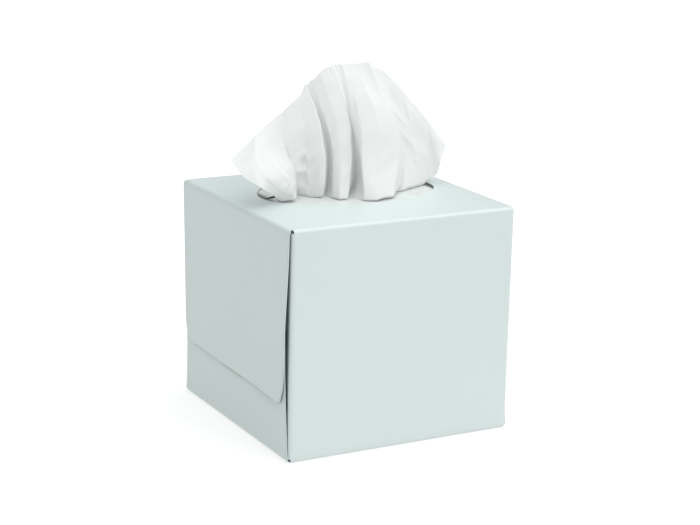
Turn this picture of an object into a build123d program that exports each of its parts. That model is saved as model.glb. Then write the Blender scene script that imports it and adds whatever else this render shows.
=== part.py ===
from build123d import *
from math import sqrt
import os

# A cube box of facial tissues: one folded and glued carton, a slit dispensing film under its oval
# mouth, the bent stack of interfolded sheets inside, and the sheet that is pulled up ready to take.
# Millimetres. The origin is on the floor under the middle of the box, X runs along the slit, +Z is up.

# Carton
box_length = 110.0        # X, over the outer end flaps
box_depth = 107.0         # Y, over the front and back panels
box_height = 100.5        # Z, floor to top panel
board = 0.45              # thickness of the carton board
tube_fold = 1.6           # outer radius of the folds round the tube and of its upright corners
flap_fold = 2.1           # outer radius of the folds that the long end flaps turn on
flap_gap = 0.15           # air between the outer and the lower end flap
dust_gap = 0.5            # air between the lower end flap and the dust flaps
outer_flap_length = 75.5  # from the top panel down to the flap's free edge
lower_flap_length = 58.0  # from the floor up to the flap's free edge
dust_flap_length = 45.0   # from the front or back face inwards
flap_taper = 1.5          # how much each side of a long flap draws in over its length
dust_taper = 5.0          # the same for a dust flap
flap_corner = 3.0         # rounding of the flaps' free corners
seam_width = 15.0         # glued lap inside the back panel, measured up from the floor
seam_lift = 0.8           # height of the back panel's cut edge above the floor

# Mouth and film
mouth_length = 83.0       # X
mouth_width = 57.5        # Y
film = 0.1                # thickness of the dispensing film
film_end_margin = 2.5     # from the film's ends to the dust flaps
film_side_margin = 15.3   # from the film's sides to the front and back panels
slit_length = 80.0
slit_width = 2.6          # held open by the sheet that passes through it

# Hot-melt strips between the end flaps
glue_height = 4.0
glue_length = 30.0
glue_offset = 30.0        # each strip's middle, out from the box's middle plane
glue_levels = (18.0, 42.0, 78.0)  # heights on the end, from the lower flap to the outer flap alone

# Stack of sheets, bent over like a saddle with its two legs on the floor
sheet_length = 195.0      # unfolded sheet along X, over the arch
sheet_width = 200.0       # unfolded sheet along Y, folded once
stack_thickness = 18.0
stack_clearance = 3.0     # from the arch to the dust flaps
film_clearance = 3.0      # from the arch's crest up to the film
floor_clearance = 0.3

# Sheet that is pulled up
tissue_rise = 57.5        # its peak above the top panel
tissue_tip = 19.0         # its drooping corners above the top panel
tissue_reach = 54.5       # from the middle plane out to those corners
neck_clearance = 0.3      # between the sheet's neck and the slit, and from the neck to the stack
neck_length = 72.0        # X, where it passes the slit
neck_rise = 2.5           # height over the top panel where it starts to spread
spread_thickness = 10.0   # Y, over its pleats

# Worked out from the sizes above
half_length = box_length / 2
half_depth = box_depth / 2
lower_x = half_length - board - flap_gap          # outer face of the lower end flaps
dust_x = lower_x - board - dust_gap               # outer face of the dust flaps
panel_underside = box_height - board
film_underside = panel_underside - film
top_edge = half_depth - tube_fold                 # where the top panel turns into the front or back
seam_face = half_depth - board                    # plane of the glued lap


def board_ring(width, height, radius):
    """A closed ring of board in the active sketch, rounded at its four folds."""
    RectangleRounded(width, height, radius)
    RectangleRounded(width - 2 * board, height - 2 * board, radius - board, mode=Mode.SUBTRACT)


def long_flap(base_z, free_z, root_half):
    """Outline of an outer or lower end flap, from its fold to its rounded free edge."""
    free_half = root_half - flap_taper
    Polygon((-root_half, base_z), (root_half, base_z), (free_half, free_z), (-free_half, free_z), align=None)


# Carton: a tube of four panels round the X axis, closed at each end by two dust flaps, a lower flap
# and an outer flap that is folded down last. It is one blank, so it is one solid.
with BuildPart() as carton:
    # tube of four panels
    with BuildSketch(Plane.YZ) as tube:
        with Locations((0, box_height / 2)):
            board_ring(box_depth, box_height, tube_fold)
        # at the lower back edge the floor panel ends in a lap that is glued inside the back panel
        with Locations((seam_face - tube_fold, 0)):
            Rectangle(board + tube_fold, tube_fold, align=Align.MIN, mode=Mode.SUBTRACT)
        with Locations((seam_face - tube_fold, tube_fold)):
            Circle(tube_fold)
            Circle(tube_fold - board, mode=Mode.SUBTRACT)
            Rectangle(2 * tube_fold, 2 * tube_fold, align=(Align.MAX, Align.CENTER), mode=Mode.SUBTRACT)
            Rectangle(tube_fold, tube_fold, align=Align.MIN, mode=Mode.SUBTRACT)
        with Locations((seam_face - board, tube_fold)):
            Rectangle(board, seam_width - tube_fold, align=Align.MIN)
        with Locations((seam_face, seam_lift)):
            Rectangle(board, seam_width - seam_lift, align=Align.MIN)
        # what the ring's cut took from the floor panel and the back panel's inside
        with Locations((0, 0)):
            Rectangle(seam_face - tube_fold, board, align=Align.MIN)
    extrude(amount=dust_x - tube_fold, both=True)
    # top panel with its two folds
    with BuildSketch(Plane.XZ):
        with Locations((0, box_height / 2)):
            board_ring(box_length, box_height, flap_fold)
        Rectangle(box_length, box_height - flap_fold, align=(Align.CENTER, Align.MIN), mode=Mode.SUBTRACT)
    extrude(amount=top_edge, both=True)
    # floor panel with its two folds
    with BuildSketch(Plane.XZ):
        with Locations((0, box_height / 2)):
            board_ring(2 * lower_x, box_height, flap_fold)
        with Locations((0, flap_fold)):
            Rectangle(box_length, box_height, align=(Align.CENTER, Align.MIN), mode=Mode.SUBTRACT)
    extrude(amount=top_edge - board, both=True)
    # front and back panels with the upright folds of the dust flaps
    with BuildSketch(Plane.XY.offset(tube_fold)):
        board_ring(2 * dust_x, box_depth, tube_fold)
        Rectangle(box_length, 2 * top_edge, mode=Mode.SUBTRACT)
    extrude(amount=box_height - 2 * tube_fold)
    for end in (-1, 1):
        # outer flap, hanging from the top panel
        with BuildSketch(Plane.YZ.offset(end * half_length)) as outer:
            long_flap(box_height - flap_fold, box_height - outer_flap_length, top_edge)
            fillet(outer.vertices().group_by(Axis.Y)[0], flap_corner)
        extrude(amount=-end * board)
        # lower flap, standing up from the floor panel behind it
        with BuildSketch(Plane.YZ.offset(end * lower_x)) as lower:
            long_flap(flap_fold, lower_flap_length, top_edge - board)
            fillet(lower.vertices().group_by(Axis.Y)[-1], flap_corner)
        extrude(amount=-end * board)
        # dust flaps, the innermost pair
        for side in (-1, 1):
            with BuildSketch(Plane.YZ.offset(end * dust_x)):
                Polygon((side * top_edge, tube_fold),
                        (side * top_edge, box_height - tube_fold),
                        (side * (half_depth - dust_flap_length), box_height - tube_fold - dust_taper),
                        (side * (half_depth - dust_flap_length), tube_fold + dust_taper),
                        align=None)
            extrude(amount=-end * board)
    # oval mouth
    with BuildSketch(Plane.XY.offset(panel_underside)):
        Ellipse(mouth_length / 2, mouth_width / 2)
    extrude(amount=board, mode=Mode.SUBTRACT)

carton.part.label = "carton"

# Film: glued under the top panel, flat face to flat face, with one slit along the mouth
with BuildPart() as dispensing_film:
    with BuildSketch(Plane.XY.offset(film_underside)):
        RectangleRounded(2 * (dust_x - board - film_end_margin), 2 * (seam_face - film_side_margin),
                         flap_corner)
        SlotOverall(slit_length, slit_width, mode=Mode.SUBTRACT)
    extrude(amount=film)

dispensing_film.part.label = "dispensing_film"

# Glue: strips that fill the air between one end flap and the next
lower_glue, middle_glue, upper_glue = glue_levels
outer_inside = half_length - board                # inner face of the outer flaps
lower_inside = lower_x - board                    # inner face of the lower flaps
with BuildPart() as flap_glue:
    for end in (-1, 1):
        for side in (-1, 1):
            for level, face, depth in ((lower_glue, lower_inside, dust_gap),
                                       (middle_glue, outer_inside, flap_gap),
                                       (upper_glue, outer_inside, outer_inside - dust_x)):
                with BuildSketch(Plane.YZ.offset(end * face)):
                    with Locations((side * glue_offset, level)):
                        Rectangle(glue_length, glue_height)
                extrude(amount=-end * depth)

flap_glue.part.label = "flap_glue"

# Stack: the sheets lie over one another along the arch, so the outer ones end higher up
arch_outer = dust_x - board - stack_clearance
arch_inner = arch_outer - stack_thickness
arch_crest = film_underside - film_clearance
arch_centre = arch_crest - arch_outer
quarter_turn = 1.5708
outer_end = arch_centre - (sheet_length / 2 - quarter_turn * arch_outer)
leg_end = board + floor_clearance
with BuildPart() as tissue_stack:
    with BuildSketch(Plane.XZ):
        with BuildLine():
            CenterArc((0, arch_centre), arch_outer, 0, 180)
            Polyline((-arch_outer, arch_centre), (-arch_outer, outer_end), (-arch_inner, leg_end),
                     (-arch_inner, arch_centre))
            CenterArc((0, arch_centre), arch_inner, 0, 180)
            Polyline((arch_outer, arch_centre), (arch_outer, outer_end), (arch_inner, leg_end),
                     (arch_inner, arch_centre))
        make_face()
    extrude(amount=sheet_width / 4, both=True)

tissue_stack.part.label = "tissue_stack"

# Pulled sheet: a closed stand-in for the pleated sheet, a thin neck through the slit and a fan above it.
# The fan's outline runs from the left corner over the peak to the right corner.
neck_half = neck_length / 2
neck_thickness = slit_width - 2 * neck_clearance
neck_top = box_height + neck_rise
seat_radius = arch_outer + neck_clearance
neck_foot = arch_centre + sqrt(seat_radius ** 2 - neck_half ** 2)
fan_outline = [(-0.79, 0.57), (-0.39, 0.86), (-0.09, 1.0), (0.2, 1.0), (0.48, 0.79), (0.69, 0.59)]
with BuildPart() as pulled_tissue:
    with BuildSketch(Plane.XZ):
        with BuildLine():
            Polyline((-neck_half, neck_foot), (-neck_half, neck_top), (neck_half, neck_top),
                     (neck_half, neck_foot))
            ThreePointArc((-neck_half, neck_foot), (0, arch_centre + seat_radius), (neck_half, neck_foot))
        make_face()
    extrude(amount=neck_thickness / 2, both=True)
    with BuildSketch(Plane.XZ):
        with BuildLine():
            Polyline((-neck_half, neck_top), (-tissue_reach, box_height + tissue_tip),
                     *[(tissue_reach * x, box_height + tissue_rise * z) for x, z in fan_outline],
                     (tissue_reach, box_height + tissue_tip), (neck_half, neck_top), close=True)
        make_face()
    extrude(amount=spread_thickness / 2, both=True)

pulled_tissue.part.label = "pulled_tissue"

os.makedirs("parts", exist_ok=True)
export_step(carton.part, "parts/carton.step")
export_step(dispensing_film.part, "parts/dispensing_film.step")
export_step(flap_glue.part, "parts/flap_glue.step")
export_step(tissue_stack.part, "parts/tissue_stack.step")
export_step(pulled_tissue.part, "parts/pulled_tissue.step")
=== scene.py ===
import math

import bpy
from mathutils import Matrix, Vector, noise


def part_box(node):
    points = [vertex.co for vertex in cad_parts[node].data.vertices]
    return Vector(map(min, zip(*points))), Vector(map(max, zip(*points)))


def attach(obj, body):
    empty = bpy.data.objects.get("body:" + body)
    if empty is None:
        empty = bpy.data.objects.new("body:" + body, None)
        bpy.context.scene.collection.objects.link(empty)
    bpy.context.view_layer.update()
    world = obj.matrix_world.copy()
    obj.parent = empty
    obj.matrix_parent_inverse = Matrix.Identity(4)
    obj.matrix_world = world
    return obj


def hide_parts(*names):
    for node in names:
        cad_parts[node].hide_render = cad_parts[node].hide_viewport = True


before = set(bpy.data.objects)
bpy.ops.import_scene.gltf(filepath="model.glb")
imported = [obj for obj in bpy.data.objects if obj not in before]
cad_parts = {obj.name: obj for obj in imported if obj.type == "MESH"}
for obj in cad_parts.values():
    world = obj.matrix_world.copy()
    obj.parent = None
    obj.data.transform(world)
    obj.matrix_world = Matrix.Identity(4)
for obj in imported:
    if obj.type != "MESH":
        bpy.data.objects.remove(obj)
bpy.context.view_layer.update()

mm = 0.001


def deselectAll():
    bpy.ops.object.select_all(action="DESELECT")


def makeActive(piece):
    deselectAll()
    piece.select_set(True)
    bpy.context.view_layer.objects.active = piece


def applyModifier(piece, kind, **settings):
    makeActive(piece)
    modifier = piece.modifiers.new(kind.lower(), kind)
    for key, value in settings.items():
        setattr(modifier, key, value)
    bpy.ops.object.modifier_apply(modifier=modifier.name)


def smoothStep(value, start, end):
    t = min(1.0, max(0.0, (value - start) / (end - start)))
    return t * t * (3 - 2 * t)


def spread(start, end, count):
    return [start + (end - start) * i / count for i in range(count + 1)]


def gridPiece(name, rows, columns, place):
    # a grid primitive whose points are moved to place(row, column)
    deselectAll()
    bpy.ops.mesh.primitive_grid_add(x_subdivisions=len(rows) - 1, y_subdivisions=len(columns) - 1,
                                    size=2)
    piece = bpy.context.object
    piece.name = piece.data.name = name
    for point in piece.data.vertices:
        row = round((point.co.x + 1) / 2 * (len(rows) - 1))
        column = round((point.co.y + 1) / 2 * (len(columns) - 1))
        point.co = place(rows[row], columns[column])
    piece.data.update()
    return piece


def joinPieces(name, pieces, weld=0.02 * mm):
    makeActive(pieces[0])
    for piece in pieces:
        piece.select_set(True)
    bpy.ops.object.join()
    joined = bpy.context.object
    joined.name = joined.data.name = name
    bpy.ops.object.mode_set(mode="EDIT")
    bpy.ops.mesh.select_all(action="SELECT")
    bpy.ops.mesh.remove_doubles(threshold=weld)
    bpy.ops.mesh.normals_make_consistent(inside=False)
    bpy.ops.object.mode_set(mode="OBJECT")
    return joined


def flipFaces(piece):
    makeActive(piece)
    bpy.ops.object.mode_set(mode="EDIT")
    bpy.ops.mesh.select_all(action="SELECT")
    bpy.ops.mesh.flip_normals()
    bpy.ops.object.mode_set(mode="OBJECT")


def smoothShade(piece, degrees):
    makeActive(piece)
    bpy.ops.object.shade_smooth_by_angle(angle=math.radians(degrees))


class Value:
    # a socket that takes part in Python sums
    def __init__(self, tree, socket):
        self.tree = tree
        self.socket = socket

    def math(self, operation, *others):
        node = self.tree.nodes.new("ShaderNodeMath")
        node.operation = operation
        for slot, value in enumerate((self, *others)):
            if isinstance(value, Value):
                self.tree.links.new(value.socket, node.inputs[slot])
            else:
                node.inputs[slot].default_value = value
        return Value(self.tree, node.outputs[0])

    def __add__(self, other):
        return self.math("ADD", other)

    __radd__ = __add__

    def __sub__(self, other):
        return self.math("SUBTRACT", other)

    def __mul__(self, other):
        return self.math("MULTIPLY", other)

    __rmul__ = __mul__


class Finish:
    # a material with one Principled shader
    def __init__(self, name, **constants):
        self.material = bpy.data.materials.new(name)
        self.material.use_nodes = True
        self.tree = self.material.node_tree
        self.shader = self.tree.nodes["Principled BSDF"]
        for key, value in constants.items():
            self.shader.inputs[key.replace("_", " ")].default_value = value

    def node(self, kind, settings=None, output=0, **inputs):
        # an input goes by its name, or by its number as in i6
        node = self.tree.nodes.new("ShaderNode" + kind)
        for key, value in (settings or {}).items():
            setattr(node, key, value)
        for key, value in inputs.items():
            socket = node.inputs[int(key[1:]) if key[1:].isdigit() else key]
            if isinstance(value, Value):
                self.tree.links.new(value.socket, socket)
            else:
                socket.default_value = value
        return Value(self.tree, node.outputs[output])

    def feed(self, name, value):
        self.tree.links.new(value.socket, self.shader.inputs[name])

    def place(self):
        # the piece's own coordinates
        return self.node("TexCoord", output=3)

    def noise(self, place, scale, detail=3.0, roughness=0.5):
        return self.node("TexNoise", {"noise_dimensions": "3D"}, Vector=place, Scale=scale,
                         Detail=detail, Roughness=roughness)

    def blend(self, factor, first, second):
        return self.node("Mix", {"data_type": "RGBA"}, output=2, i0=factor, i6=first, i7=second)

    def bump(self, height, strength, distance):
        self.feed("Normal", self.node("Bump", Height=height, Strength=strength, Distance=distance))


# Angles are in degrees, the lens and the sensor in millimetres.
view = {
    "azimuth": -28.69,
    "elevation": 14.77,
    "roll": 1.3,
    "distance": 833.94 * mm,
    "aim": (2.577 * mm, 0.0, 68.267 * mm),
    "lens": 95.984,
    "sensor": 36.0,
    "clipStart": 10 * mm,
}


def directionTo(azimuth, elevation):
    # from the origin, azimuth 0 towards the front
    return Vector((math.sin(azimuth) * math.cos(elevation), -math.cos(azimuth) * math.cos(elevation),
                   math.sin(elevation)))


def makeCamera():
    azimuth, elevation, roll = (math.radians(view[key]) for key in ("azimuth", "elevation", "roll"))
    right = Vector((math.cos(azimuth), math.sin(azimuth), 0))
    back = directionTo(azimuth, elevation)
    up = back.cross(right)
    across = right * math.cos(roll) + up * math.sin(roll)
    upward = up * math.cos(roll) - right * math.sin(roll)
    data = bpy.data.cameras.new("camera")
    data.lens = view["lens"]
    data.sensor_width = view["sensor"]
    data.clip_start = view["clipStart"]
    camera = bpy.data.objects.new("camera", data)
    bpy.context.scene.collection.objects.link(camera)
    spot = Vector(view["aim"]) + back * view["distance"]
    turn = Matrix((across, upward, back)).transposed().to_4x4()
    camera.matrix_world = Matrix.Translation(spot) @ turn
    bpy.context.scene.camera = camera


makeCamera()
print("camera placed")


# Left and right are the ends towards -X and +X. The left one is closed more loosely.
carton = {
    "board": 0.45 * mm,
    "tubeFold": 1.6 * mm,
    "flapFold": 2.1 * mm,
    "flapGap": 0.15 * mm,
    "dustGap": 0.5 * mm,
    "outerFlap": 75.5 * mm,
    "lowerFlap": 58.0 * mm,
    "dustFlap": 45.0 * mm,
    "flapCorner": 3.0 * mm,
    "flapFlare": 1.3 * mm,
    "flapTaper": 2.9 * mm,
    "tipTaper": 2.4 * mm,
    "flapSlant": 0.012,
    "rightInset": 1.7 * mm,
    "rightTaper": 1.2 * mm,
    "lowerInset": 0.25 * mm,
    "lowerFlare": 0.6 * mm,
    "lowerTaper": 3.0 * mm,
    "dustTaper": 5.0 * mm,
    "seamWidth": 15.0 * mm,
    "seamLift": 0.8 * mm,
    "seamPress": 0.03 * mm,
    "mouthLength": 83.0 * mm,
    "mouthWidth": 57.5 * mm,
    "crown": 2.0 * mm,
    "crownMargin": 2.0 * mm,
    "spring": 0.75 * mm,
    "endWave": 0.1 * mm,
    "frontWave": 0.16 * mm,
    "tightEnd": 0.42 * mm,
    "cornerReach": 0.8 * mm,
    # the width of the painted shade line along the end flaps' edges
    "shadeLine": 0.32 * mm,
    "dustSag": 2.0 * mm,
    "sagReach": 9.0 * mm,
}

board = carton["board"]
halfLength, halfDepth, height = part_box("carton")[1]
lowerX = halfLength - board - carton["flapGap"]
dustX = lowerX - board - carton["dustGap"]
tubeEnd = dustX - carton["tubeFold"]
topEdge = halfDepth - carton["tubeFold"]
middle = spread(-tubeEnd, tubeEnd + carton["tightEnd"], 48)
foldAngles = spread(0, math.pi / 2, 6)
cornerAngles = (0.3, 0.6, 0.85, 1.0)
nearZero = 0.01 * mm
# places in the carton's list of materials, after the outside's
insideSlot = 1
# this slot holds the cut board edges and the painted shade line along the end flaps' edges
edgeAndShadeSlot = 2


def foldedEnd(halfWidth, radius, flap, steps):
    # (across, down) from where a panel starts to fold to its flap's free edge
    foldStart = halfWidth - radius
    rounding = carton["flapCorner"]
    # a fold that starts close to the panel's own last point leaves out its first point
    angles = foldAngles if foldStart > tubeEnd + 0.5 * mm else foldAngles[1:]
    points = [(foldStart + radius * math.sin(angle), radius - radius * math.cos(angle))
              for angle in angles]
    downs = spread(radius, flap - rounding, steps)[1:]
    downs += [flap - rounding + rounding * math.sin(angle) for angle in cornerAngles]
    downs += [flap - carton["shadeLine"], flap]
    return points + [(halfWidth, down) for down in downs]


def foldedPath(leftWidth, rightWidth, radius, flap, steps):
    # along a panel and its two flaps, from one free edge to the other
    left = [(-a, d) for a, d in reversed(foldedEnd(leftWidth, radius, flap, steps))]
    return left + [(a, 0.0) for a in middle] + foldedEnd(rightWidth, radius, flap, steps)


def freeCorner(down, flap):
    # how far a flap's side draws in where its free corner is rounded
    rounding = carton["flapCorner"]
    over = max(0.0, down - (flap - rounding))
    return rounding - math.sqrt(max(0.0, rounding ** 2 - over ** 2))


def crownLift(x, y):
    # how far the top panel stands proud of its edges
    along = 1 - abs(x / (halfLength - carton["crownMargin"])) ** 3
    return carton["crown"] * along * (1 - abs(y / topEdge) ** 3)


def panelWave(u, v, size):
    # the slow unevenness of a board panel, zero at its folds
    fade = (1 - abs(u) ** 4) * (1 - abs(v) ** 4)
    return size * fade * (math.sin(2.1 * u + 1.3 * v + 0.6) + 0.6 * math.sin(3.7 * v - 1.9 * u + 2.0))


def outerPlace(across, y):
    x, down = across
    side = math.copysign(1, x)
    radius = carton["flapFold"]
    if down < nearZero:
        return (x, y, height + crownLift(x, y))
    share = y / topEdge
    onFold = smoothStep(down, 0, 0.4 * radius)
    t = max(0.0, (down - radius) / (carton["outerFlap"] - radius))
    half = topEdge + carton["flapFlare"] * onFold - carton["flapTaper"] * t
    half -= carton["tipTaper"] * smoothStep(t, 0.86, 1.0)
    half -= freeCorner(down, carton["outerFlap"])
    if side > 0:
        half = min(half, topEdge - carton["rightInset"] - carton["rightTaper"] * t)
    # the left flap springs out at its front edge
    loose = smoothStep(-share, 0.3, 1.0) * smoothStep(t, 0.1, 0.6) if side < 0 else 0.0
    x += side * carton["spring"] * loose + side * panelWave(share, 2 * t - 1, carton["endWave"])
    slant = -carton["flapSlant"] * share * half * smoothStep(t, 0.4, 1.0) * side
    return (x, share * half, height - down + slant)


def lowerPlace(across, y):
    x, down = across
    side = math.copysign(1, x)
    radius = carton["flapFold"]
    if down < nearZero:
        return (x, y, 0)
    share = y / topEdge
    t = max(0.0, (down - radius) / (carton["lowerFlap"] - radius))
    half = topEdge + carton["lowerFlare"] * smoothStep(down, 0, radius) - carton["lowerTaper"] * t ** 0.6
    half -= freeCorner(down, carton["lowerFlap"])
    spring = carton["spring"] * (0.75 if side < 0 else 0.1)
    x += side * spring * smoothStep(abs(share), 0.45, 1.0) * smoothStep(t, 0.05, 0.7)
    return (x, share * half, down)


def frontPlace(across, z):
    x, down = across
    share = (z - height / 2) / (height / 2 - carton["tubeFold"])
    if down < nearZero:
        return (x, -halfDepth - panelWave(x / tubeEnd, share, carton["frontWave"]), z)
    t = smoothStep(down, carton["tubeFold"], carton["dustFlap"])
    half = height / 2 - carton["tubeFold"] - carton["dustTaper"] * t
    half -= freeCorner(down, carton["dustFlap"])
    # one dust flap of each panel leans into the box: the front's left one, the back's right one
    sag = carton["dustSag"] * smoothStep(down, carton["tubeFold"], carton["sagReach"]) if x < 0 else 0.0
    return (x + sag, -halfDepth + down, height / 2 + share * half)


def backPlace(across, z):
    x, y, z = frontPlace(across, z)
    return (-x, -y, z)


def foldStrip(centreY, centreZ, turn):
    # a quarter fold along X between two panels
    radius = carton["tubeFold"]
    reach = carton["cornerReach"]
    columns = [middle[0] - reach, *middle, middle[-1] + reach]
    return gridPiece("fold", columns, foldAngles, lambda x, angle: (
        x, centreY + radius * math.cos(angle + turn), centreZ + radius * math.sin(angle + turn)))


def paintShadeLineOnFlapEdges(piece):
    # painted shade: a thin dark line on each end flap's outward face, along its edges, stands in for the
    # shadow in the gap under the flap's edge
    for face in piece.data.polygons:
        corners = [piece.data.vertices[index].co for index in face.vertices]
        narrowest = min((a - b).length for a, b in zip(corners, corners[1:] + corners[:1]))
        inLine = narrowest < 1.35 * carton["shadeLine"]
        onEndFlap = abs(face.center.x) > dustX + 0.6 * mm
        outward = face.normal.x * face.center.x > 0.5 * abs(face.center.x)
        if inLine and onEndFlap and outward:
            face.material_index = edgeAndShadeSlot


def makeMouthCutter():
    # the number of sides isn't a multiple of 4, so no corner lies at either end of the mouth
    deselectAll()
    bpy.ops.mesh.primitive_cylinder_add(vertices=182, radius=1, depth=12 * mm,
                                        location=(0, 0, height + 2 * mm))
    cutter = bpy.context.object
    cutter.scale = (carton["mouthLength"] / 2, carton["mouthWidth"] / 2, 1)
    bpy.ops.object.transform_apply(location=True, rotation=True, scale=True)
    for face in cutter.data.polygons:
        face.material_index = edgeAndShadeSlot
    return cutter


def makeCarton():
    radius = carton["tubeFold"]
    seamFace = halfDepth - board
    lowerEdge = seamFace - radius
    line = carton["shadeLine"]
    # a strip as narrow as the painted shade line runs along both sides of a long flap
    outerRows = [-topEdge, *spread(line - topEdge, topEdge - line, 44), topEdge]
    lowerRows = [-topEdge, *spread(line - topEdge, lowerEdge - line, 44), lowerEdge]
    outerPath = foldedPath(halfLength, halfLength, carton["flapFold"], carton["outerFlap"], 24)
    lowerPath = foldedPath(lowerX - carton["lowerInset"], lowerX, carton["flapFold"],
                           carton["lowerFlap"], 18)
    frontPath = foldedPath(dustX, dustX + carton["tightEnd"], radius, carton["dustFlap"], 12)
    backPath = [(-across, down) for across, down in reversed(frontPath)]
    levels = spread(radius, height - radius, 40)
    outer = gridPiece("outer", outerPath, outerRows, outerPlace)
    lower = gridPiece("lower", lowerPath, lowerRows, lowerPlace)
    front = gridPiece("front", frontPath, levels, frontPlace)
    back = gridPiece("back", backPath, [carton["seamLift"]] + levels, backPlace)
    folds = [foldStrip(-topEdge, height - radius, math.pi / 2),
             foldStrip(-topEdge, radius, math.pi),
             foldStrip(topEdge, height - radius, 0),
             foldStrip(lowerEdge, radius, -math.pi / 2)]
    lap = gridPiece("lap", middle, spread(radius, carton["seamWidth"], 4),
                    lambda x, z: (x, seamFace - carton["seamPress"] * (z > radius), z))
    piece = joinPieces("folded_carton", [outer, lower, front, back, *folds, lap])
    # the face nearest the middle of the top panel has to look up
    top = max(piece.data.polygons,
              key=lambda face: face.center.z - abs(face.center.x) - abs(face.center.y))
    if top.normal.z < 0:
        flipFaces(piece)
    applyModifier(piece, "SOLIDIFY", thickness=board, offset=-1, use_even_offset=True,
                  use_rim=True, material_offset=insideSlot, material_offset_rim=edgeAndShadeSlot)
    paintShadeLineOnFlapEdges(piece)
    return piece


def cutMouth(piece):
    cutter = makeMouthCutter()
    applyModifier(piece, "BOOLEAN", object=cutter, operation="DIFFERENCE", solver="EXACT",
                  material_mode="INDEX")
    bpy.data.objects.remove(cutter)
    smoothShade(piece, 35)


def boardOutside():
    finish = Finish("carton_outside", Roughness=0.42, Coat_Weight=0.12, Coat_Roughness=0.3)
    place = finish.place()
    cloud = finish.noise(place, 22, 3)
    fibre = finish.noise(place, 900, 4, 0.6)
    finish.feed("Base Color", finish.blend(cloud, (0.556, 0.630, 0.619, 1), (0.578, 0.652, 0.641, 1)))
    finish.feed("Roughness", 0.36 + 0.14 * cloud)
    finish.bump(finish.noise(place, 60, 3) * 0.5 + fibre * 0.12, 0.12, 0.3 * mm)
    return finish.material


def boardInside():
    finish = Finish("carton_inside", Roughness=0.85)
    place = finish.place()
    fleck = finish.noise(place, 700, 4, 0.7)
    finish.feed("Base Color", finish.blend(fleck, (0.34, 0.335, 0.32, 1), (0.46, 0.455, 0.44, 1)))
    finish.bump(fleck, 0.3, 0.1 * mm)
    return finish.material


def boardEdgeAndShade():
    finish = Finish("carton_cut_edge_and_painted_shade", Roughness=0.9)
    place = finish.place()
    fleck = finish.noise(place, 2400, 3, 0.7)
    # the grey board core, darkened so that it also serves as the painted shade line along the end flaps'
    # edges
    finish.feed("Base Color", finish.blend(fleck, (0.34, 0.35, 0.34, 1), (0.50, 0.51, 0.50, 1)))
    finish.bump(fleck, 0.4, 0.05 * mm)
    return finish.material


cartonPiece = makeCarton()
for material in (boardOutside(), boardInside(), boardEdgeAndShade()):
    cartonPiece.data.materials.append(material)
cutMouth(cartonPiece)
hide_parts("carton")
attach(cartonPiece, "root")
print("carton folded")


# The film ripples only as far as glueWidth and glueLength from the middle, where it is glued on.
filmSheet = {
    "length": 100.0 * mm,
    "width": 75.0 * mm,
    "slit": 80.0 * mm,
    "gape": 2.2 * mm,
    "gapeReach": 9.0 * mm,
    "lift": 1.3 * mm,
    "liftReach": 6.0 * mm,
    "sunk": 0.55 * mm,
    "ripple": 0.25 * mm,
    "glueWidth": 30.0 * mm,
    "glueLength": 40.0 * mm,
}


def filmPlace(x, y):
    # reach is 0 at the slit's middle and 1 at its ends
    reach = abs(x) / (filmSheet["slit"] / 2)
    near = math.exp(-(y / filmSheet["liftReach"]) ** 2)
    gape = filmSheet["gape"] * max(0.0, 1 - reach ** 8) ** 0.7
    gape *= math.exp(-abs(y) / filmSheet["gapeReach"])
    lift = filmSheet["lift"] * max(0.0, 1 - reach ** 2) * near
    ripple = filmSheet["ripple"] * noise.noise((x * 60, y * 45, 2.0)) * smoothStep(abs(y), 0, 10 * mm)
    ripple *= 1 - smoothStep(abs(y), filmSheet["glueWidth"] - 6 * mm, filmSheet["glueWidth"])
    ripple *= 1 - smoothStep(abs(x), filmSheet["glueLength"] - 10 * mm, filmSheet["glueLength"])
    z = height + crownLift(x, y) - filmSheet["sunk"] + lift + ripple
    return (x, y + math.copysign(gape, y), z)


def makeFilm():
    # the halves start a hair apart and open at the slit, and joining welds them past its ends
    columns = spread(-filmSheet["length"] / 2, filmSheet["length"] / 2, 100)
    hair = 0.001 * mm
    halfWidth = filmSheet["width"] / 2
    halves = [gridPiece("film", columns, spread(side * hair, side * halfWidth, 40), filmPlace)
              for side in (-1, 1)]
    piece = joinPieces("slit_film", halves)
    smoothShade(piece, 180)
    return piece


def filmFinish():
    finish = Finish("poly_film", Roughness=0.3, IOR=1.5)
    place = finish.place()
    haze = finish.noise(place, 140, 4, 0.6)
    finish.feed("Base Color", finish.blend(haze, (0.64, 0.69, 0.675, 1), (0.74, 0.785, 0.77, 1)))
    # clearer at the slit's ends and past them
    away = finish.node("SeparateXYZ", Vector=place).math("ABSOLUTE")
    clear = finish.node("MapRange", {"interpolation_type": "SMOOTHSTEP"}, Value=away, **{
        "From Min": filmSheet["slit"] / 2 - 4 * mm, "From Max": filmSheet["slit"] / 2,
        "To Min": 0.0, "To Max": 0.7})
    finish.feed("Alpha", 0.78 + 0.2 * haze - clear)
    finish.bump(finish.noise(place, 90, 3), 0.25, 0.4 * mm)
    return finish.material


filmPiece = makeFilm()
filmPiece.data.materials.append(filmFinish())
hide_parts("dispensing_film")
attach(filmPiece, "root")
print("film laid")


# The sheet is worked out in millimetres. The arch is the stack's with a little air over it, and
# backFold and frontFold are how far behind and in front of the middle the sheet turns on the stack.
pulled = {
    "width": 200.0,
    "length": 195.0,
    "columns": 300,
    "rows": 170,
    "archRadius": 50.4,
    "archCentre": 46.95,
    "neckTop": 1.0,
    "neckDraw": 0.95,
    "neckDepth": 0.12,
    "backFold": 48.0,
    "frontFold": 47.0,
    "creaseWidth": 14.0,
    "creaseDepth": 5.0,
    "facetDepth": 1.3,
    "letThrough": 0.3,
}

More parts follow.
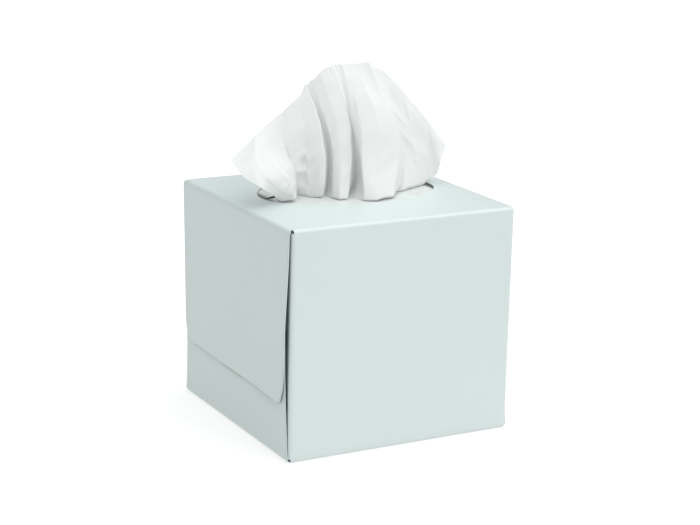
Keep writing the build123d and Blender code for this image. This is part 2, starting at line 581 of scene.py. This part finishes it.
# Each rib is a fold line of the sheet from its free edge down to the film, as (x, y, z) in mm,
# z from the top panel: free edge, middle, low, foot. Negative y is towards the front. Then how crisp
# its fold is, from 0 to 1, and how many mm the pleat to its right puffs out.
ribs = [
    (((-58.9, -5, 20.6), (-56.0, -12, 14.2), (-49.0, -16, 9.4), (-37.8, -10.5, 1.8)), 1.0, 0.0),
    (((-47.7, -5, 29.4), (-49.2, -10.5, 22.1), (-45.5, -15, 12.7), (-35.1, -12, 1.6)), 0.0, 0.6),
    (((-40.9, -5, 34.6), (-41.7, -9, 24.5), (-37.6, -13, 12.9), (-31.2, -12, 1.6)), 0.6, 0.0),
    (((-34.0, -5, 39.9), (-33.7, -4, 25.5), (-29.2, -5, 10.4), (-25.0, -3, 1.5)), 0.1, 0.0),
    (((-26.6, -5, 45.3), (-24.5, -6, 29.0), (-23.3, -7, 13.1), (-22.5, -8, 1.6)), 0.2, 0.3),
    (((-24.0, -5, 51.1), (-18.4, -9, 34.2), (-17.0, -11, 19.1), (-18.2, -11.5, 1.7)), 1.0, 0.0),
    (((-20.4, 0, 49.4), (-10.5, 4, 30.1), (-6.5, 5, 13.9), (-11.5, -3, 1.6)), 0.9, 0.0),
    (((-18.1, -1, 51.7), (-12.9, -4, 31.7), (-10.8, -7, 17.9), (-14.3, -13, 1.7)), 0.9, 0.6),
    (((-15.7, -3, 55.3), (-9.1, -7, 32.6), (-8.2, -10, 17.0), (-13.3, -18.5, 1.7)), 0.5, 0.0),
    (((-12.7, -4, 57.2), (-4.1, -7, 35.5), (-3.1, -9, 17.0), (-9.5, -18.5, 1.7)), 0.9, 0.0),
    (((-9.0, -3, 57.8), (-1.8, -5, 34.6), (6.0, 3, 12.0), (3.2, -3, 1.6)), 0.5, 0.0),
    (((-5.0, -3, 57.9), (0.6, -9, 36.3), (-0.1, -13.5, 18.4), (-4.6, -23, 1.7)), 0.7, 0.6),
    (((1.4, -3, 58.0), (8.0, -10, 36.8), (8.1, -14, 17.7), (0.5, -26, 1.7)), 0.0, 0.4),
    (((7.6, -3, 57.8), (17.1, -7, 34.1), (20.0, -10, 16.7), (10.5, -24, 1.7)), 1.0, 0.0),
    (((16.4, 0, 53.5), (23.4, -2, 31.5), (26.9, -3, 13.0), (22.0, -12, 1.6)), 0.4, 0.0),
    (((26.3, 0, 44.7), (31.2, -1, 26.8), (33.7, -3, 9.6), (31.0, -8, 1.6)), 0.0, 0.0),
    (((41.0, 1, 29.8), (42.9, 1, 17.6), (41.6, -1, 7.3), (37.0, -5, 1.5)), 0.2, 0.0),
    (((49.9, -1, 18.1), (46.3, -3, 11.3), (44.8, -2, 4.8), (39.0, -2, 1.5)), 1.0, 0.0),
]


def alongRib(points, share):
    # a smooth line through a rib's points, share 0 at the free edge and 1 at the slit
    lengths = [0.0]
    for first, second in zip(points, points[1:]):
        lengths.append(lengths[-1] + (second - first).length)
    goal = share * lengths[-1]
    index = min(len(points) - 2, max(i for i, length in enumerate(lengths) if length <= goal + 1e-9))
    t = (goal - lengths[index]) / (lengths[index + 1] - lengths[index])
    first, second = points[index], points[index + 1]
    # straight at both ends, and at the foot, where the sheet turns in over the film
    before = points[index - 1] if 0 < index < len(points) - 2 else first * 2 - second
    after = points[index + 2] if index < len(points) - 3 else second * 2 - first
    slope = second - before
    bend = 2 * before - 5 * first + 4 * second - after
    twist = 3 * first - before - 3 * second + after
    return 0.5 * (2 * first + slope * t + bend * t * t + twist * t ** 3)


def slitPoint(foot):
    # where a rib passes the slit: the pleats draw in towards it
    return Vector((foot.x * pulled["neckDraw"], foot.y * pulled["neckDepth"], pulled["neckTop"]))


panelTop = height / mm
ribLines = []
for points, crisp, puff in ribs:
    points = [Vector(point) for point in points]
    ribLines.append((points + [slitPoint(points[-1])], crisp, puff))
ribLengths = [sum((b - a).length for a, b in zip(line, line[1:])) for line, crisp, puff in ribLines]
# the sheet's width is shared out by how far apart neighbouring fold lines run
gaps = [max((alongRib(first, share) - alongRib(second, share)).length for share in (0.2, 0.5, 0.8))
        for (first, _, _), (second, _, _) in zip(ribLines, ribLines[1:])]
ribPlaces = [-pulled["width"] / 2]
for gap in gaps:
    ribPlaces.append(ribPlaces[-1] + gap / sum(gaps) * pulled["width"])
# the valley at the left is creased most
creasePlace = ribPlaces[3]


def crumple(u, v):
    # a slow shift of up to about 1 mm in each direction
    return Vector([noise.noise((u * 0.05, v * 0.05, 3.0 + 7.0 * axis)) for axis in range(3)])


def onArch(u):
    # where the sheet lies at u when it is spread flat over the stack's arch and down its legs
    radius, centre = pulled["archRadius"], pulled["archCentre"]
    angle = u / radius
    if abs(angle) > math.pi / 2:
        return Vector((math.copysign(radius, u), 0, centre - (abs(u) - radius * math.pi / 2)))
    return Vector((radius * math.sin(angle), 0, centre + radius * math.cos(angle)))


def overStack(u, x, down):
    # below the slit the sheet drops to the stack, runs back over it, comes forward and turns again
    radius, centre = pulled["archRadius"], pulled["archCentre"]
    top = panelTop + pulled["neckTop"]
    gathered = Vector((x, 0, centre + math.sqrt(radius ** 2 - x * x)))
    drop = max(0.1, top - gathered.z - 1.0)
    if down < drop:
        return Vector((x, pulled["neckDepth"] * math.sin(u), top - down))
    settle = smoothStep(down, 2.0, 40.0)
    base = gathered.lerp(onArch(u), settle)
    outward = Vector((base.x, 0, max(0.0, base.z - centre))).normalized()
    run = down - drop
    ripple = 0.35 * noise.noise((u * 0.1, run * 0.06, 30.0)) + 0.3 * math.sin(u * 0.35) * (1 - settle)
    if run < pulled["backFold"]:
        return base + outward * (1.1 + ripple) + Vector((0, run, 0))
    forward = 2 * pulled["backFold"] - run
    if forward > -pulled["frontFold"]:
        return base + outward * (0.45 + 0.4 * ripple) + Vector((0, forward, 0))
    return base + outward * (0.2 + 0.2 * ripple) + Vector((0, -2 * pulled["frontFold"] - forward, 0))


def sheetPlace(u, v):
    # the place of the sheet's point u across its width and v down from its free edge
    index = max(i for i in range(len(ribs) - 1) if ribPlaces[i] <= u + 1e-6)
    (first, firstCrisp, puff), (second, secondCrisp, _) = ribLines[index], ribLines[index + 1]
    t = (u - ribPlaces[index]) / (ribPlaces[index + 1] - ribPlaces[index])
    eased = t * t * (3 - 2 * t)
    crisp = firstCrisp * (1 - t) + secondCrisp * t
    mix = eased * (1 - crisp) + t * crisp
    length = ribLengths[index] * (1 - mix) + ribLengths[index + 1] * mix
    share = min(1.0, v / length)
    point = alongRib(first, share).lerp(alongRib(second, share), mix)
    if v > length:
        return overStack(u, point.x, v - length)
    loose = math.sin(math.pi * min(1.0, 0.25 + 0.75 * share)) ** 0.6
    facet = abs(noise.noise((u * 0.07 + v * 0.05, v * 0.07 - u * 0.03, 1.0)))
    creased = math.exp(-((u - creasePlace) / pulled["creaseWidth"]) ** 2) * smoothStep(share, 0.3, 0.6)
    point += crumple(u, v) * (1.0 + creased) * loose
    point.y += (pulled["facetDepth"] * facet - 0.4) * loose
    point.y -= puff * math.sin(math.pi * t) * smoothStep(share, 0.25, 0.6)
    wrinkle = abs(noise.noise((u * 0.13 + v * 0.1, v * 0.13 - u * 0.09, 9.0))) - 0.2
    point.y += pulled["creaseDepth"] * creased * loose * wrinkle
    # an uneven free edge
    point.z += 0.5 * noise.noise((u * 0.11, 0.0, 40.0)) * (1 - share)
    return point + Vector((0, 0, panelTop))


def makePulledSheet():
    across = spread(-pulled["width"] / 2, pulled["width"] / 2, pulled["columns"])
    down = spread(0.0, pulled["length"], pulled["rows"])
    piece = gridPiece("pulled_sheet", across, down, lambda u, v: sheetPlace(u, v) * mm)
    smoothShade(piece, 180)
    return piece


def tissueFinish():
    finish = Finish("tissue", Roughness=0.95, Sheen_Weight=0.15, Sheen_Roughness=0.6)
    place = finish.place()
    fibre = finish.noise(place, 1100, 4, 0.65)
    cloud = finish.noise(place, 45, 3)
    finish.feed("Base Color", finish.blend(cloud, (0.785, 0.79, 0.785, 1), (0.815, 0.82, 0.815, 1)))
    crepe = finish.noise(finish.node("Mapping", Vector=place, Scale=(260, 260, 1500)), 1.0)
    ridge = (finish.noise(place, 48, 2) - 0.5).math("ABSOLUTE")
    finish.bump(crepe * 0.2 + fibre * 0.15 + ridge * 2.0, 0.3, 0.5 * mm)
    # some of the light comes through the paper
    through = finish.tree.nodes.new("ShaderNodeBsdfTranslucent")
    through.inputs["Color"].default_value = (0.96, 0.98, 0.975, 1)
    mixer = finish.tree.nodes.new("ShaderNodeMixShader")
    mixer.inputs[0].default_value = pulled["letThrough"]
    output = finish.tree.nodes["Material Output"]
    finish.tree.links.new(finish.shader.outputs[0], mixer.inputs[1])
    finish.tree.links.new(through.outputs[0], mixer.inputs[2])
    finish.tree.links.new(mixer.outputs[0], output.inputs["Surface"])
    return finish.material


sheetPiece = makePulledSheet()
sheetPiece.data.materials.append(tissueFinish())
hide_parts("pulled_tissue")
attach(sheetPiece, "root")
print("sheet pulled up")


def stackFinish():
    finish = Finish("stacked_sheets", Roughness=0.95)
    layers = finish.noise(finish.place(), 600, 2)
    finish.feed("Base Color", finish.blend(layers, (0.80, 0.82, 0.82, 1), (0.92, 0.93, 0.93, 1)))
    finish.bump(layers, 0.4, 0.3 * mm)
    return finish.material


def glueFinish():
    finish = Finish("hot_melt_glue", Roughness=0.35)
    cloud = finish.noise(finish.place(), 150)
    finish.feed("Base Color", finish.blend(cloud, (0.80, 0.76, 0.62, 1), (0.88, 0.85, 0.74, 1)))
    return finish.material


# the stack and the glue keep their CAD shapes
for node, material in (("tissue_stack", stackFinish()), ("flap_glue", glueFinish())):
    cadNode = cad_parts[node]
    cadNode.data.materials.clear()
    cadNode.data.materials.append(material)
print("stack and glue finished")


# Angles are in degrees.
studio = {
    "floor": (0.38, 0.38, 0.38, 1),
    "glow": 0.62,
    "floorSize": 6.0,
    "floorDrop": 0.1 * mm,
    "world": (0.96, 1.0, 1.0, 1),
    "worldStrength": 0.4,
    "sun": 3.15,
    "sunAzimuth": 27.0,
    "sunElevation": 68.0,
    "sunSize": 95.0,
}


def makeFloor():
    deselectAll()
    bpy.ops.mesh.primitive_plane_add(size=studio["floorSize"], location=(0, 0, -studio["floorDrop"]))
    floor = bpy.context.object
    floor.name = "floor"
    finish = Finish("floor", Roughness=0.9, Base_Color=studio["floor"], Emission_Color=(1, 1, 1, 1),
                    Emission_Strength=studio["glow"])
    floor.data.materials.append(finish.material)


def makeLight():
    world = bpy.data.worlds.new("studio")
    bpy.context.scene.world = world
    world.use_nodes = True
    background = world.node_tree.nodes["Background"]
    background.inputs[0].default_value = studio["world"]
    background.inputs[1].default_value = studio["worldStrength"]
    data = bpy.data.lights.new("soft_sky", "SUN")
    data.energy = studio["sun"]
    data.angle = math.radians(studio["sunSize"])
    lamp = bpy.data.objects.new("soft_sky", data)
    bpy.context.scene.collection.objects.link(lamp)
    towards = directionTo(math.radians(studio["sunAzimuth"]), math.radians(studio["sunElevation"]))
    lamp.rotation_euler = towards.to_track_quat("Z", "Y").to_euler()
    bpy.context.scene.view_settings.view_transform = "Standard"


makeFloor()
makeLight()
print("studio lit")
